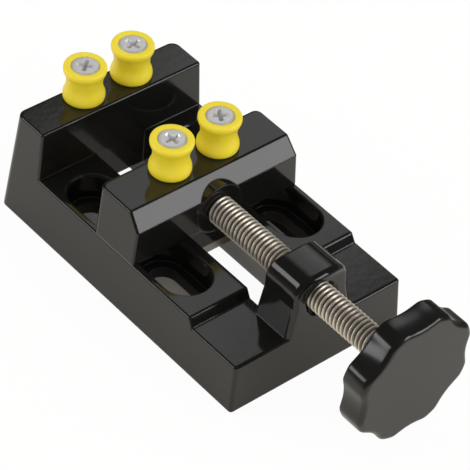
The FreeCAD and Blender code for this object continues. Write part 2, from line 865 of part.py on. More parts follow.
round_edges(knob, "lobe_rounds", is_flute_corner, size.flute_round)
chamfer_edges(knob, "front_chamfer", is_front_rim, size.knob_chamfer)
chamfer_edges(knob, "rear_chamfer", is_rear_rim, size.knob_rear_chamfer)
hex_room = new_sketch(knob, "hex_room", "XZ_Plane", hex_front)
draw_hexagon(hex_room, size.hex_width)
extrude(knob, "Pocket", hex_room, "hex_cavity", size.hex_depth)
shank_hole = new_sketch(knob, "shank_hole", "XZ_Plane", hex_front)
draw_circle(shank_hole, ZERO, axis_z, size.screw_radius)
extrude(knob, "Pocket", shank_hole, "shank_cavity", size.knob_thick)


def add_peg(label, side, station, seat):
    """Spool-shaped plastic peg standing on a jaw, bored and countersunk for its screw."""
    body = new_body(label)
    half = new_sketch(body, "half_section", "XZ_Plane")
    draw_outline(
        half,
        [
            (size.peg_bore_radius, ZERO),
            (size.peg_base_radius, ZERO),
            (size.peg_base_radius, size.peg_base_top),
            (size.peg_waist_radius, size.peg_waist_height),
            (size.peg_flange_radius, size.peg_flange_start),
            (size.peg_flange_radius, size.peg_height - size.peg_rim_chamfer),
            (size.peg_flange_radius - size.peg_rim_chamfer, size.peg_height),
            (size.peg_screw_head, size.peg_height),
            (size.peg_bore_radius, size.peg_height - size.peg_screw_head + size.peg_bore_radius),
        ],
    )
    add_axis_line(half, (ZERO, ZERO), (ZERO, size.peg_height))
    turn(body, "Revolution", half, "spool")
    place_body(body, side, station, seat)


def add_peg_screw(label, side, station, seat):
    """Countersunk screw that holds a peg to its jaw."""
    body = new_body(label)
    half = new_sketch(body, "half_section", "XZ_Plane")
    tip = size.peg_height - size.peg_screw_length
    draw_outline(
        half,
        [
            (ZERO, tip),
            (size.peg_screw_radius, tip),
            (size.peg_screw_radius, size.peg_height - size.peg_screw_head + size.peg_screw_radius),
            (size.peg_screw_head, size.peg_height),
            (ZERO, size.peg_height),
        ],
    )
    add_axis_line(half, (ZERO, tip), (ZERO, size.peg_height))
    turn(body, "Revolution", half, "screw_solid")
    place_body(body, side, station, seat)


for jaw_name, station, seat in (
    ("fixed", fixed_peg_y, size.jaw_height),
    ("moving", moving_peg_y, size.mover_top),
):
    for side_name, side in (("left", -peg_x), ("right", peg_x)):
        add_peg(f"peg_{jaw_name}_{side_name}", side, station, seat)
        add_peg_screw(f"peg_screw_{jaw_name}_{side_name}", side, station, seat)

# Nothing is written unless every object recomputed cleanly and every body is one valid solid.
doc.recompute()
for item in doc.Objects:
    if "Invalid" in item.State or "Error" in item.State:
        raise RuntimeError(f"{item.Label} failed to recompute")
bodies = [item for item in doc.Objects if item.TypeId == "PartDesign::Body"]
for body in bodies:
    if body.Shape.isNull() or not body.Shape.isValid() or len(body.Shape.Solids) != 1:
        raise RuntimeError(f"{body.Label} is not one valid solid")
for body in bodies:
    body.Shape.exportStep(f"parts/{body.Label}.step")
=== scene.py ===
import math

import bmesh
import bpy
from mathutils import Matrix, Vector


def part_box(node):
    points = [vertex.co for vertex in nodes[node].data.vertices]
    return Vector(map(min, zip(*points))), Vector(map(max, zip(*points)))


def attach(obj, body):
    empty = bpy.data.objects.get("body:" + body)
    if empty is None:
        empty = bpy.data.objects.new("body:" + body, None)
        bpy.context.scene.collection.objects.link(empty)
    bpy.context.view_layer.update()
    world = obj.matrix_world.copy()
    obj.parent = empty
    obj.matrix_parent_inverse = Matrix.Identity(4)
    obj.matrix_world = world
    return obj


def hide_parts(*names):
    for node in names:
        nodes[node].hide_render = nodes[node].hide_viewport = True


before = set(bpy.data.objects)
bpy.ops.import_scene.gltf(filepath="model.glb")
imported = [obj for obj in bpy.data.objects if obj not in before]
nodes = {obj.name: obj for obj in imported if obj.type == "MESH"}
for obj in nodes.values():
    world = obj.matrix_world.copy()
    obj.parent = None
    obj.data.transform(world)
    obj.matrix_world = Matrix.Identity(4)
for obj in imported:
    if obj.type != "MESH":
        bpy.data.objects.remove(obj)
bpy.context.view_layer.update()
MM = 0.001

# ---------------------------------------------------------------------------
# Base casting. One hollow zinc die casting: two rails, fixed jaw, screw lug and four bolt pockets.
# It is sprayed with gloss black enamel, which rounds every edge a little, pools in broad soft
# blotches and dries with a faint orange-peel skin; dust lies on it. Edges get a painted highlight.

ENAMEL_THIN = (0.0062, 0.0061, 0.0056)
ENAMEL_THICK = (0.0094, 0.0092, 0.0084)
ENAMEL_EDGE_HIGHLIGHT = (0.060, 0.058, 0.055)
ENAMEL_DUSTY = (0.055, 0.053, 0.050)
ENAMEL_EDGE = 0.55 * MM
ENAMEL_RELIEF = 0.013 * MM
EDGE_GAIN = 5.0
SPECK_LEVEL = 0.64
SPECK_GAIN = 8.0

# Where the lug's top is, and how fast the normals of its crown lean away from the middle.
LUG_FRONT = -32.0 * MM
LUG_REAR = -17.0 * MM
CROWN_FOOT = 27.0 * MM
CROWN_TOP = 29.0 * MM
CROWN_LEAN = 0.075 / MM


def add_node(tree, kind, **settings):
    """Shader node whose settings are socket values where it has such a socket, else properties."""
    made = tree.nodes.new(kind)
    for key, value in settings.items():
        if key in made.inputs:
            made.inputs[key].default_value = value
        else:
            setattr(made, key, value)
    return made


def feed(tree, source, socket):
    if isinstance(source, tuple):
        socket.default_value = (*source, 1.0) if len(socket.default_value) == 4 else source
    elif isinstance(source, (int, float)):
        socket.default_value = source
    else:
        tree.links.new(source, socket)


def do_math(tree, operation, *terms, clamp=False):
    made = add_node(tree, "ShaderNodeMath", operation=operation, use_clamp=clamp)
    for index, term in enumerate(terms):
        feed(tree, term, made.inputs[index])
    return made.outputs[0]


def ramp(tree, source, start, end):
    """Smooth step from 0 at start to 1 at end, which may lie below start."""
    made = add_node(tree, "ShaderNodeMapRange", interpolation_type="SMOOTHSTEP")
    tree.links.new(source, made.inputs["Value"])
    made.inputs["From Min"].default_value = start
    made.inputs["From Max"].default_value = end
    return made.outputs["Result"]


def graded(tree, mask, start, rise):
    """Value that is start where a mask is 0, and has risen by rise where it is 1."""
    return do_math(tree, "MULTIPLY_ADD", mask, rise, start)


def weaken(tree, mask, share):
    return do_math(tree, "MULTIPLY", mask, share)


def blend_colours(tree, factor, low, high):
    """Mix of two colours: the Mix node takes colours in sockets 6 and 7 and gives one in 2."""
    made = add_node(tree, "ShaderNodeMix", data_type="RGBA")
    for index, term in ((0, factor), (6, low), (7, high)):
        feed(tree, term, made.inputs[index])
    return made.outputs[2]


def separate(tree, space="Object"):
    """X, Y and Z of the place on the object, or of the direction in the room."""
    place = add_node(tree, "ShaderNodeTexCoord")
    parts = add_node(tree, "ShaderNodeSeparateXYZ")
    tree.links.new(place.outputs[space], parts.inputs[0])
    return parts.outputs


def noise_field(tree, features_per_mm, detail, roughness=0.5):
    """Noise fixed to the object, with its scale in features per millimetre."""
    place = add_node(tree, "ShaderNodeTexCoord")
    field = add_node(
        tree, "ShaderNodeTexNoise", Scale=features_per_mm / MM, Detail=detail, Roughness=roughness
    )
    tree.links.new(place.outputs["Object"], field.inputs["Vector"])
    return field.outputs["Fac"]


def new_group(name, inputs, outputs):
    """Node group with named sockets: inputs as (name, default), outputs as (name, socket kind)."""
    group = bpy.data.node_groups.new(name, "ShaderNodeTree")
    sockets = group.interface
    for label, default in inputs:
        socket = sockets.new_socket(name=label, in_out="INPUT", socket_type="NodeSocketFloat")
        socket.default_value = default
    for label, kind in outputs:
        sockets.new_socket(name=label, in_out="OUTPUT", socket_type=kind)
    return group, group.nodes.new("NodeGroupInput"), group.nodes.new("NodeGroupOutput")


def make_edge_group():
    """Normals that run round an edge, and a mask that is 1 along the edge itself."""
    group, entry, leave = new_group(
        "rounded_edges",
        [("Radius", 0.3 * MM)],
        [("Normal", "NodeSocketVector"), ("Edge", "NodeSocketFloat")],
    )
    bevel = add_node(group, "ShaderNodeBevel", samples=8)
    group.links.new(entry.outputs["Radius"], bevel.inputs["Radius"])
    flat = add_node(group, "ShaderNodeNewGeometry")
    dot = add_node(group, "ShaderNodeVectorMath", operation="DOT_PRODUCT")
    group.links.new(bevel.outputs["Normal"], dot.inputs[0])
    group.links.new(flat.outputs["Normal"], dot.inputs[1])
    turned = do_math(group, "SUBTRACT", 1.0, dot.outputs["Value"])
    group.links.new(bevel.outputs["Normal"], leave.inputs["Normal"])
    edge = do_math(group, "MULTIPLY", turned, EDGE_GAIN, clamp=True)
    group.links.new(edge, leave.inputs["Edge"])
    return group


def make_skin_group():
    """Height of a sprayed or moulded skin, broad blotches of shine, and specks of dust."""
    group, entry, leave = new_group(
        "coated_skin",
        [("Peel", 1.0), ("Grain", 0.2)],
        [("Height", "NodeSocketFloat"), ("Blotch", "NodeSocketFloat"), ("Dust", "NodeSocketFloat")],
    )
    waves = noise_field(group, features_per_mm=0.45, detail=2.0)
    grains = noise_field(group, features_per_mm=5.0, detail=2.0)
    peel = do_math(group, "MULTIPLY", waves, entry.outputs["Peel"])
    grain = do_math(group, "MULTIPLY", grains, entry.outputs["Grain"])
    group.links.new(do_math(group, "ADD", peel, grain), leave.inputs["Height"])
    blotches = noise_field(group, features_per_mm=0.08, detail=3.0)
    group.links.new(blotches, leave.inputs["Blotch"])
    dotted = noise_field(group, features_per_mm=1.8, detail=5.0, roughness=0.7)
    specks = do_math(group, "SUBTRACT", dotted, SPECK_LEVEL)
    dust = do_math(group, "MULTIPLY", specks, SPECK_GAIN, clamp=True)
    group.links.new(dust, leave.inputs["Dust"])
    return group


rounded_edges = make_edge_group()
coated_skin = make_skin_group()


def place_group(tree, group, **values):
    made = add_node(tree, "ShaderNodeGroup")
    made.node_tree = group
    for key, value in values.items():
        made.inputs[key].default_value = value
    return made


def new_material(name, **sockets):
    made = bpy.data.materials.new(name)
    made.use_nodes = True
    shader = made.node_tree.nodes["Principled BSDF"]
    for key, value in sockets.items():
        shader.inputs[key.replace("_", " ")].default_value = value
    return made, made.node_tree, shader


def paint(tree, shader, factor, low, high):
    """Base colour that goes from low to high with a factor."""
    colour = blend_colours(tree, factor, low, high)
    tree.links.new(colour, shader.inputs["Base Color"])


def polish(tree, shader, mask, start, rise):
    """Roughness that rises from start with a mask."""
    tree.links.new(graded(tree, mask, start, rise), shader.inputs["Roughness"])


def add_relief(tree, shader, height, depth, normal=None):
    bump = add_node(tree, "ShaderNodeBump", Distance=depth)
    tree.links.new(height, bump.inputs["Height"])
    if normal:
        tree.links.new(normal, bump.inputs["Normal"])
    tree.links.new(bump.outputs["Normal"], shader.inputs["Normal"])


def crown(tree, normal):
    """Normals that lean outwards in x with distance from the middle, on the lug's top only."""
    parts = separate(tree)
    past_front = do_math(tree, "GREATER_THAN", parts["Y"], LUG_FRONT)
    before_rear = do_math(tree, "LESS_THAN", parts["Y"], LUG_REAR)
    within = do_math(tree, "MULTIPLY", past_front, before_rear)
    held = do_math(tree, "MULTIPLY", within, ramp(tree, parts["Z"], CROWN_FOOT, CROWN_TOP))
    sideways = do_math(tree, "MULTIPLY", parts["X"], do_math(tree, "MULTIPLY", held, CROWN_LEAN))
    push = add_node(tree, "ShaderNodeCombineXYZ")
    tree.links.new(sideways, push.inputs["X"])
    leaned = add_node(tree, "ShaderNodeVectorMath", operation="ADD")
    tree.links.new(normal, leaned.inputs[0])
    tree.links.new(push.outputs[0], leaned.inputs[1])
    made = add_node(tree, "ShaderNodeVectorMath", operation="NORMALIZE")
    tree.links.new(leaned.outputs[0], made.inputs[0])
    return made.outputs[0]


def make_enamel(name, crowned):
    made, tree, shader = new_material(name, IOR=1.5)
    edges = place_group(tree, rounded_edges, Radius=ENAMEL_EDGE)
    skin = place_group(tree, coated_skin, Peel=1.0, Grain=0.03)
    pooled = blend_colours(tree, skin.outputs["Blotch"], ENAMEL_THIN, ENAMEL_THICK)
    # Painted highlight: the colour is lightened along the edge mask.
    edge_highlight = weaken(tree, edges.outputs["Edge"], share=0.35)
    body = blend_colours(tree, edge_highlight, pooled, ENAMEL_EDGE_HIGHLIGHT)
    dusty = weaken(tree, skin.outputs["Dust"], share=0.30)
    paint(tree, shader, dusty, body, ENAMEL_DUSTY)
    shine = graded(tree, skin.outputs["Blotch"], start=0.06, rise=0.08)
    polish(tree, shader, dusty, start=shine, rise=0.3)
    normal = edges.outputs["Normal"]
    if crowned:
        normal = crown(tree, normal)
    add_relief(tree, shader, skin.outputs["Height"], ENAMEL_RELIEF, normal)
    return made


def dress(node_name, material):
    """Give a carried-over CAD node its finish."""
    mesh = nodes[node_name].data
    mesh.materials.clear()
    mesh.materials.append(material)


dress("base_casting", make_enamel("gloss_black_enamel_base", crowned=True))

# ---------------------------------------------------------------------------
# Moving jaw. A second casting in the same enamel: a full-width block with a chamfered brow, a
# round boss that takes the screw's end, and a tongue below that runs in the slot of the base.

dress("moving_jaw", make_enamel("gloss_black_enamel_jaw", crowned=False))

# ---------------------------------------------------------------------------
# Keeper plate. A strip of zinc-plated steel, fixed under the tongue with two countersunk
# cross-head screws; it reaches under both rails and keeps the moving jaw down.

PLATE_TONE = (0.55, 0.54, 0.52)
PLATE_DULL = (0.36, 0.355, 0.345)
HEAD_TONE = (0.95, 0.935, 0.915)
HEAD_DULL = (0.80, 0.79, 0.775)
PLATED_EDGE = 0.12 * MM
PLATED_RELIEF = 0.012 * MM
TIP_CHAMFER = 0.5 * MM
WELD = 0.002 * MM
# How far each keeper screw is turned, in degrees.
KEEPER_SPINS = {"left": 20, "right": 63}


def make_plated(name, tone, dull, roughness, metallic):
    """Plated steel: bright patches and dull ones, with dull specks and a fine grain."""
    made, tree, shader = new_material(name, Metallic=metallic)
    edges = place_group(tree, rounded_edges, Radius=PLATED_EDGE)
    skin = place_group(tree, coated_skin, Peel=0.5, Grain=0.6)
    colour = blend_colours(tree, skin.outputs["Blotch"], dull, tone)
    paint(tree, shader, skin.outputs["Dust"], colour, dull)
    polish(tree, shader, skin.outputs["Blotch"], start=roughness, rise=0.18)
    add_relief(tree, shader, skin.outputs["Height"], PLATED_RELIEF, edges.outputs["Normal"])
    return made


plate_zinc = make_plated("dull_zinc_plate", PLATE_TONE, PLATE_DULL, roughness=0.30, metallic=0.95)
head_zinc = make_plated("bright_zinc_plate", HEAD_TONE, HEAD_DULL, roughness=0.28, metallic=0.66)
dress("keeper_plate", plate_zinc)


def close_end(bm, ring):
    """Fan from a ring to its own middle."""
    middle = bm.verts.new(sum((vert.co for vert in ring), Vector()) / len(ring))
    for first, following in zip(ring, ring[1:] + ring[:1]):
        bm.faces.new((first, following, middle))


def join_rings(bm, low, high):
    count = len(low)
    for index in range(count):
        following = (index + 1) % count
        bm.faces.new((low[index], low[following], high[following], high[index]))


def skin_rings(bm, rows):
    """Closed skin over rows of points that all have the same count, with a fan at each end."""
    rings = [[bm.verts.new(point) for point in row] for row in rows]
    for low, high in zip(rings, rings[1:]):
        join_rings(bm, low, high)
    close_end(bm, rings[0])
    close_end(bm, rings[-1])


def add_piece(name, bm, material, body, replaced, crease=35.0):
    """Finished mesh piece that rides on a body and stands for CAD nodes.

    Edges that turn by more than the crease, in degrees, stay sharp.
    """
    bmesh.ops.remove_doubles(bm, verts=bm.verts, dist=WELD)
    bmesh.ops.dissolve_degenerate(bm, edges=bm.edges, dist=WELD / 2)
    bmesh.ops.recalc_face_normals(bm, faces=bm.faces)
    limit = math.radians(crease)
    for face in bm.faces:
        face.smooth = True
    for edge in bm.edges:
        edge.smooth = not (edge.is_manifold and edge.calc_face_angle() > limit)
    mesh = bpy.data.meshes.new(name)
    bm.to_mesh(mesh)
    bm.free()
    mesh.materials.append(material)
    made = bpy.data.objects.new(name, mesh)
    bpy.context.scene.collection.objects.link(made)
    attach(made, body)
    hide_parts(*replaced)


# Bearings round a cross recess: close together where its arms turn their corners.
ARM_BEARINGS = [0, 6, 10, 12, 13, 15, 20, 30]
CROSS_BEARINGS = [
    math.radians(quarter * 90 + bearing)
    for quarter in range(4)
    for bearing in [-step for step in reversed(ARM_BEARINGS[1:])] + ARM_BEARINGS + [45]
]
# A cross recess from its floor to its rim: share of its reach, and share of its depth.
RECESS_STEPS = ((0.18, 1.0), (0.45, 0.94), (0.86, 0.22), (1.0, 0.0))
# A countersunk head from its flat top to its widest edge: how far out and down, in head radii.
HEAD_STEPS = ((0.80, 0.0), (0.95, 0.012), (0.99, 0.035), (1.0, 0.07))


def cross_reach(bearing, half_arm, reach):
    """How far a cross recess with blunt arms reaches at a bearing."""
    off_arm = abs((bearing + math.pi / 4) % (math.pi / 2) - math.pi / 4)
    return min(reach / math.cos(off_arm), half_arm / max(math.sin(off_arm), 1e-6))


def cross_screw_rows(head, shank, length, half_arm, reach, depth):
    """Countersunk cross-head screw, head up at z = 0: rows of points, recess floor first."""
    profile = [(head * out, -head * down) for out, down in HEAD_STEPS]
    profile += [
        (shank, profile[-1][1] - (head - shank)),
        (shank, -length + TIP_CHAMFER),
        (shank - TIP_CHAMFER, -length),
    ]
    rows = []
    for share, drop in RECESS_STEPS:
        row = []
        for bearing in CROSS_BEARINGS:
            radius = cross_reach(bearing, half_arm, reach) * share
            row.append((radius * math.cos(bearing), radius * math.sin(bearing), -depth * drop))
        rows.append(row)
    for radius, height in profile:
        rows.append([(radius * math.cos(b), radius * math.sin(b), height) for b in CROSS_BEARINGS])
    return rows


def add_cross_screw(name, material, body, rows, spin, flip=False):
    """Screw that takes the place of its CAD node, with its head up, or down if flipped."""
    low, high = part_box(name)
    turn = Matrix.Rotation(math.radians(spin), 4, "Z")
    if flip:
        turn = Matrix.Rotation(math.pi, 4, "X") @ turn
    seat = Vector(((low[0] + high[0]) / 2, (low[1] + high[1]) / 2, low[2] if flip else high[2]))
    bm = bmesh.new()
    skin_rings(bm, [[seat + turn @ Vector(point) for point in row] for row in rows])
    add_piece(name + "_detail", bm, material, body, [name])


keeper_rows = cross_screw_rows(
    head=2.38 * MM,
    shank=1.25 * MM,
    length=10.0 * MM,
    half_arm=0.30 * MM,
    reach=1.25 * MM,
    depth=0.9 * MM,
)
for side, spin in KEEPER_SPINS.items():
    name = "keeper_screw_" + side
    add_cross_screw(name, head_zinc, "moving_jaw", keeper_rows, spin, flip=True)

# ---------------------------------------------------------------------------
# Retaining pin. A plain rod of zinc-plated steel pressed up through the tongue; it lies in the
# groove of the screw's journal, so that the jaw follows the screw both ways.

dress("retaining_pin", plate_zinc)

# ---------------------------------------------------------------------------
# Lead screw. Rolled steel rod, nickel plated, with a coarse right-hand thread from the knob through
# the tapped lug to the boss; its plain end runs in the boss and is turned down to a grooved
# journal, and its outer end has a hexagon that is moulded into the knob.

AXIS_HEIGHT = 22.7 * MM
THREAD_PITCH = 1.34 * MM
CREST_RADIUS = 3.95 * MM
ROOT_RADIUS = 3.28 * MM
THREAD_DEPTH = CREST_RADIUS - ROOT_RADIUS
THREAD_ROUND = 48
SPARE_TURNS = 3
# One turn's ridge along the screw: share of the pitch, and share of the thread's depth.
THREAD_SHAPE = [
    (0.00, 1.00),
    (0.10, 1.00),
    (0.20, 0.84),
    (0.42, 0.12),
    (0.50, 0.00),
    (0.60, 0.00),
    (0.70, 0.12),
    (0.92, 0.84),
]
ROOT_SHADE_TONE = (0.105, 0.08, 0.055)
CREST_TONE = (0.96, 0.88, 0.77)
STAIN_TONE = (0.42, 0.36, 0.28)
NICKEL_RELIEF = 0.01 * MM
SCREW_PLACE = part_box("lead_screw")
HEX_FRONT = SCREW_PLACE[0][1]
HEX_REAR = HEX_FRONT + 4.0 * MM
HEX_APOTHEM = 5.5 * MM
HEX_CHAMFER = (0.4 * MM, 0.3 * MM)
THREAD_END = 10.8 * MM
SHANK_TIP = 16.85 * MM
JOURNAL_RADIUS = 2.7 * MM
JOURNAL_CHAMFER = 0.5 * MM
GROOVE_FRONT = 18.65 * MM
GROOVE_REAR = 21.25 * MM
GROOVE_RADIUS = 1.9 * MM
JOURNAL_TIP = SCREW_PLACE[1][1]


def round_axis(angle, radius, along):
    """Point about the screw's axis; a growing angle with a growing y is a right-hand turn."""
    return (radius * math.cos(angle), along, AXIS_HEIGHT - radius * math.sin(angle))


def hexagon_reach(angle, apothem):
    """Distance to a hexagon's side, two of whose flats are level."""
    off_flat = (angle % (math.pi / 3)) - math.pi / 6
    return apothem / math.cos(off_flat)


def helix_rows():
    """Rows of the thread's skin: each follows one line of the helix for one turn.

    The turns before the start and the spare ones past the end are pressed flat on those ends.
    """
    turns = int(round((THREAD_END - HEX_REAR) / THREAD_PITCH)) + SPARE_TURNS
    rows = []
    for turn in range(-1, turns):
        for offset, lift in THREAD_SHAPE:
            row = []
            for index in range(THREAD_ROUND):
                share = index / THREAD_ROUND
                along = HEX_REAR + THREAD_PITCH * (turn + offset + share)
                fade = min(along - HEX_REAR, THREAD_END - along) / THREAD_PITCH
                radius = ROOT_RADIUS + THREAD_DEPTH * lift * min(1.0, max(0.0, fade))
                along = min(THREAD_END, max(HEX_REAR, along))
                row.append(round_axis(2 * math.pi * share, radius, along))
            rows.append(row)
    return rows


def make_nickel():
    """Warm nickel plate; the thread's roots are darker than its crests, which is painted shade."""
    made, tree, shader = new_material("warm_nickel_plate", Metallic=0.72)
    skin = place_group(tree, coated_skin, Peel=0.4, Grain=0.8)
    parts = separate(tree)
    rise = do_math(tree, "SUBTRACT", parts["Z"], AXIS_HEIGHT)
    across = do_math(tree, "MULTIPLY", parts["X"], parts["X"])
    radius = do_math(tree, "SQRT", do_math(tree, "MULTIPLY_ADD", rise, rise, across))
    height = do_math(tree, "SUBTRACT", radius, ROOT_RADIUS)
    # Painted shade: the colour darkens from the crests down into the thread's roots.
    crest = ramp(tree, height, 0.10 * THREAD_DEPTH, THREAD_DEPTH)
    metal = blend_colours(tree, crest, ROOT_SHADE_TONE, CREST_TONE)
    stained = weaken(tree, skin.outputs["Blotch"], share=0.30)
    paint(tree, shader, stained, metal, STAIN_TONE)
    shine = graded(tree, crest, start=0.44, rise=-0.08)
    polish(tree, shader, skin.outputs["Dust"], start=shine, rise=0.15)
    add_relief(tree, shader, skin.outputs["Height"], NICKEL_RELIEF)
    return made


def add_lead_screw():
    bm = bmesh.new()
    angles = [2 * math.pi * index / THREAD_ROUND for index in range(THREAD_ROUND)]
    per_turn = len(THREAD_SHAPE)
    rings = [[bm.verts.new(point) for point in row] for row in helix_rows()]
    for row in range(len(rings) - 1):
        here, above = rings[row], rings[row + 1]
        for index in range(THREAD_ROUND - 1):
            bm.faces.new((here[index], here[index + 1], above[index + 1], above[index]))
        if row + 1 + per_turn < len(rings):
            next_here, next_above = rings[row + per_turn], rings[row + 1 + per_turn]
            bm.faces.new((here[-1], next_here[0], next_above[0], above[-1]))

    def ring_of(radius, along):
        return [bm.verts.new(round_axis(angle, radius, along)) for angle in angles]

    def hexagon_ring(inset, along):
        spokes = [(angle, hexagon_reach(angle, HEX_APOTHEM - inset)) for angle in angles]
        return [bm.verts.new(round_axis(angle, radius, along)) for angle, radius in spokes]

    inset, rise = HEX_CHAMFER
    head = [
        hexagon_ring(inset, HEX_FRONT),
        hexagon_ring(0.0, HEX_FRONT + rise),
        hexagon_ring(0.0, HEX_REAR),
        ring_of(ROOT_RADIUS, HEX_REAR),
    ]
    tail = [
        ring_of(ROOT_RADIUS, THREAD_END),
        ring_of(ROOT_RADIUS, SHANK_TIP),
        ring_of(JOURNAL_RADIUS, SHANK_TIP),
        ring_of(JOURNAL_RADIUS, GROOVE_FRONT),
        ring_of(GROOVE_RADIUS, GROOVE_FRONT),
        ring_of(GROOVE_RADIUS, GROOVE_REAR),
        ring_of(JOURNAL_RADIUS, GROOVE_REAR),
        ring_of(JOURNAL_RADIUS, JOURNAL_TIP - JOURNAL_CHAMFER),
        ring_of(JOURNAL_RADIUS - JOURNAL_CHAMFER, JOURNAL_TIP),
    ]
    for part in (head, tail):
        for low, high in zip(part, part[1:]):
            join_rings(bm, low, high)
    close_end(bm, head[0])
    close_end(bm, tail[-1])
    nickel = make_nickel()
    replaced = ["lead_screw"]
    add_piece("lead_screw_thread", bm, nickel, "lead_screw", replaced, crease=50)


add_lead_screw()

# ---------------------------------------------------------------------------
# Knob. A thick disc of black moulded plastic with eight soft lobes, moulded round the screw's
# hexagon. Its face is an even satin; its side is glossier and rolls over into the face.

KNOB_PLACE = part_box("knob")
KNOB_FRONT = KNOB_PLACE[0][1]
KNOB_REAR = KNOB_PLACE[1][1]
KNOB_RADIUS = 18.4 * MM
KNOB_LOBES = 8
FLUTE_RADIUS = 12.0 * MM
FLUTE_DEPTH = 1.5 * MM
FLUTE_CENTRE = KNOB_RADIUS - FLUTE_DEPTH + FLUTE_RADIUS
FLUTE_BEARING = math.radians(91.5)
LOBE_SOFTNESS = 0.42 * MM
KNOB_STEPS = 192
FRONT_ROUND = 1.4 * MM
FRONT_STEPS = 6
REAR_ROUND = 0.9 * MM
REAR_STEPS = 4
FACE_RINGS = (0.25, 0.6)
FACE_BORDER = 0.25 * MM
HUB_HOLE = 4.02 * MM
HUB_CHAMFER = 0.4 * MM
HEX_GAP = 0.02 * MM
KNOB_DARK = (0.0060, 0.0058, 0.0054)
KNOB_PALE = (0.0095, 0.0091, 0.0085)
KNOB_DUSTY = (0.05, 0.048, 0.045)
KNOB_RELIEF = 0.012 * MM


def knob_reach(angle):
    """Radius of the lobed outline: the disc and its flutes, run softly into each other."""
    half_lobe = math.pi / KNOB_LOBES
    off_flute = (angle - FLUTE_BEARING + half_lobe) % (2 * half_lobe) - half_lobe
    sideways = FLUTE_CENTRE * math.sin(off_flute)
    inside = FLUTE_RADIUS**2 - sideways**2
    if inside <= 0:
        return KNOB_RADIUS
    flute = FLUTE_CENTRE * math.cos(off_flute) - math.sqrt(inside)
    bite = math.exp((KNOB_RADIUS - flute) / LOBE_SOFTNESS)
    return KNOB_RADIUS - LOBE_SOFTNESS * math.log(1.0 + bite)


def knob_outline():
    """Points of the outline in the knob's plane, each with its outward normal."""
    angles = [2 * math.pi * step / KNOB_STEPS for step in range(KNOB_STEPS)]
    points = [Vector((math.cos(a), math.sin(a))) * knob_reach(a) for a in angles]
    outline = []
    for index, point in enumerate(points):
        along = points[(index + 1) % KNOB_STEPS] - points[index - 1]
        outline.append((point, Vector((along.y, -along.x)).normalized()))
    return outline


def make_knob_plastic():
    made, tree, shader = new_material("black_moulded_plastic", IOR=1.5)
    skin = place_group(tree, coated_skin, Peel=0.5, Grain=0.35)
    body = blend_colours(tree, skin.outputs["Blotch"], KNOB_DARK, KNOB_PALE)
    dusty = weaken(tree, skin.outputs["Dust"], share=0.25)
    paint(tree, shader, dusty, body, KNOB_DUSTY)
    polish(tree, shader, skin.outputs["Blotch"], start=0.13, rise=0.08)
    add_relief(tree, shader, skin.outputs["Height"], KNOB_RELIEF)
    return made


def add_knob():
    outline = knob_outline()
    angles = [2 * math.pi * step / KNOB_STEPS for step in range(KNOB_STEPS)]

    def lobed(inset, along):
        return [(p.x - n.x * inset, along, AXIS_HEIGHT + p.y - n.y * inset) for p, n in outline]

    def shaped(reach, along):
        spokes = [(reach(angle), angle) for angle in angles]
        return [(r * math.cos(a), along, AXIS_HEIGHT + r * math.sin(a)) for r, a in spokes]

    def round_row(radius, along):
        return shaped(lambda angle: radius, along)

    def hexagon(angle):
        return hexagon_reach(angle, HEX_APOTHEM + HEX_GAP)

    rows = [round_row(share * KNOB_RADIUS, KNOB_FRONT) for share in FACE_RINGS]
    rows.append(lobed(FRONT_ROUND + FACE_BORDER, KNOB_FRONT))
    for step in range(FRONT_STEPS + 1):
        lean = math.radians(90 * step / FRONT_STEPS)
        inset = FRONT_ROUND * (1 - math.sin(lean))
        rows.append(lobed(inset, KNOB_FRONT + FRONT_ROUND * (1 - math.cos(lean))))
    for step in range(REAR_STEPS + 1):
        lean = math.radians(90 * step / REAR_STEPS)
        inset = REAR_ROUND * (1 - math.cos(lean))
        rows.append(lobed(inset, KNOB_REAR - REAR_ROUND * (1 - math.sin(lean))))
    rows += [
        lobed(REAR_ROUND + FACE_BORDER, KNOB_REAR),
        round_row(HUB_HOLE + HUB_CHAMFER, KNOB_REAR),
        round_row(HUB_HOLE, KNOB_REAR),
        round_row(HUB_HOLE, HEX_REAR),
        shaped(hexagon, HEX_REAR),
        shaped(hexagon, HEX_FRONT - HEX_GAP),
    ]
    bm = bmesh.new()
    skin_rings(bm, rows)
    add_piece("knob_lobed", bm, make_knob_plastic(), "lead_screw", ["knob"])


add_knob()

# ---------------------------------------------------------------------------
# Pegs. Four spools moulded in yellow plastic, with a soft satin skin that light sinks into a
# little; each stands on a jaw and is held by one cross-head screw sunk into its top.

# Half section of a peg, as radius and height in mm, from the bore's foot round the outside.
PEG_FOOT = [(2.25, 0.0), (4.95, 0.0), (5.28, 0.10), (5.46, 0.32), (5.55, 0.70), (5.58, 1.15)]
PEG_WAIST = [(5.54, 1.65), (5.42, 2.15), (5.24, 2.65), (5.05, 3.15), (4.90, 3.65), (4.80, 4.15)]
PEG_NECK = [(4.75, 4.70), (4.75, 5.25), (4.79, 5.80), (4.86, 6.35), (4.97, 6.90), (5.10, 7.40)]
PEG_FLANGE = [(5.26, 7.85), (5.44, 8.25), (5.60, 8.65), (5.69, 9.05), (5.71, 9.45)]
PEG_CREST = [(5.66, 9.80), (5.52, 10.08), (5.28, 10.25), (4.95, 10.30), (4.50, 10.26)]
PEG_SEAT = [(4.06, 10.18), (3.84, 10.12), (3.74, 10.00), (3.71, 9.70), (2.25, 8.30)]
PEG_SECTION = PEG_FOOT + PEG_WAIST + PEG_NECK + PEG_FLANGE + PEG_CREST + PEG_SEAT
PEG_STEPS = 72
PEG_DEEP = (0.74, 0.585, 0.020)
PEG_BRIGHT = (0.82, 0.665, 0.036)
PEG_DUSTY = (0.66, 0.52, 0.04)
PEG_GLOW_DEPTH = (1.0, 0.7, 0.15)
PEG_RELIEF = 0.02 * MM
HEAD_SINK = 0.10 * MM
# How far each peg's screw is turned, in degrees.
PEG_SCREW_SPINS = {
    "moving_left": 2.0,
    "moving_right": -30.0,
    "fixed_left": 40.0,
    "fixed_right": 12.0,
}


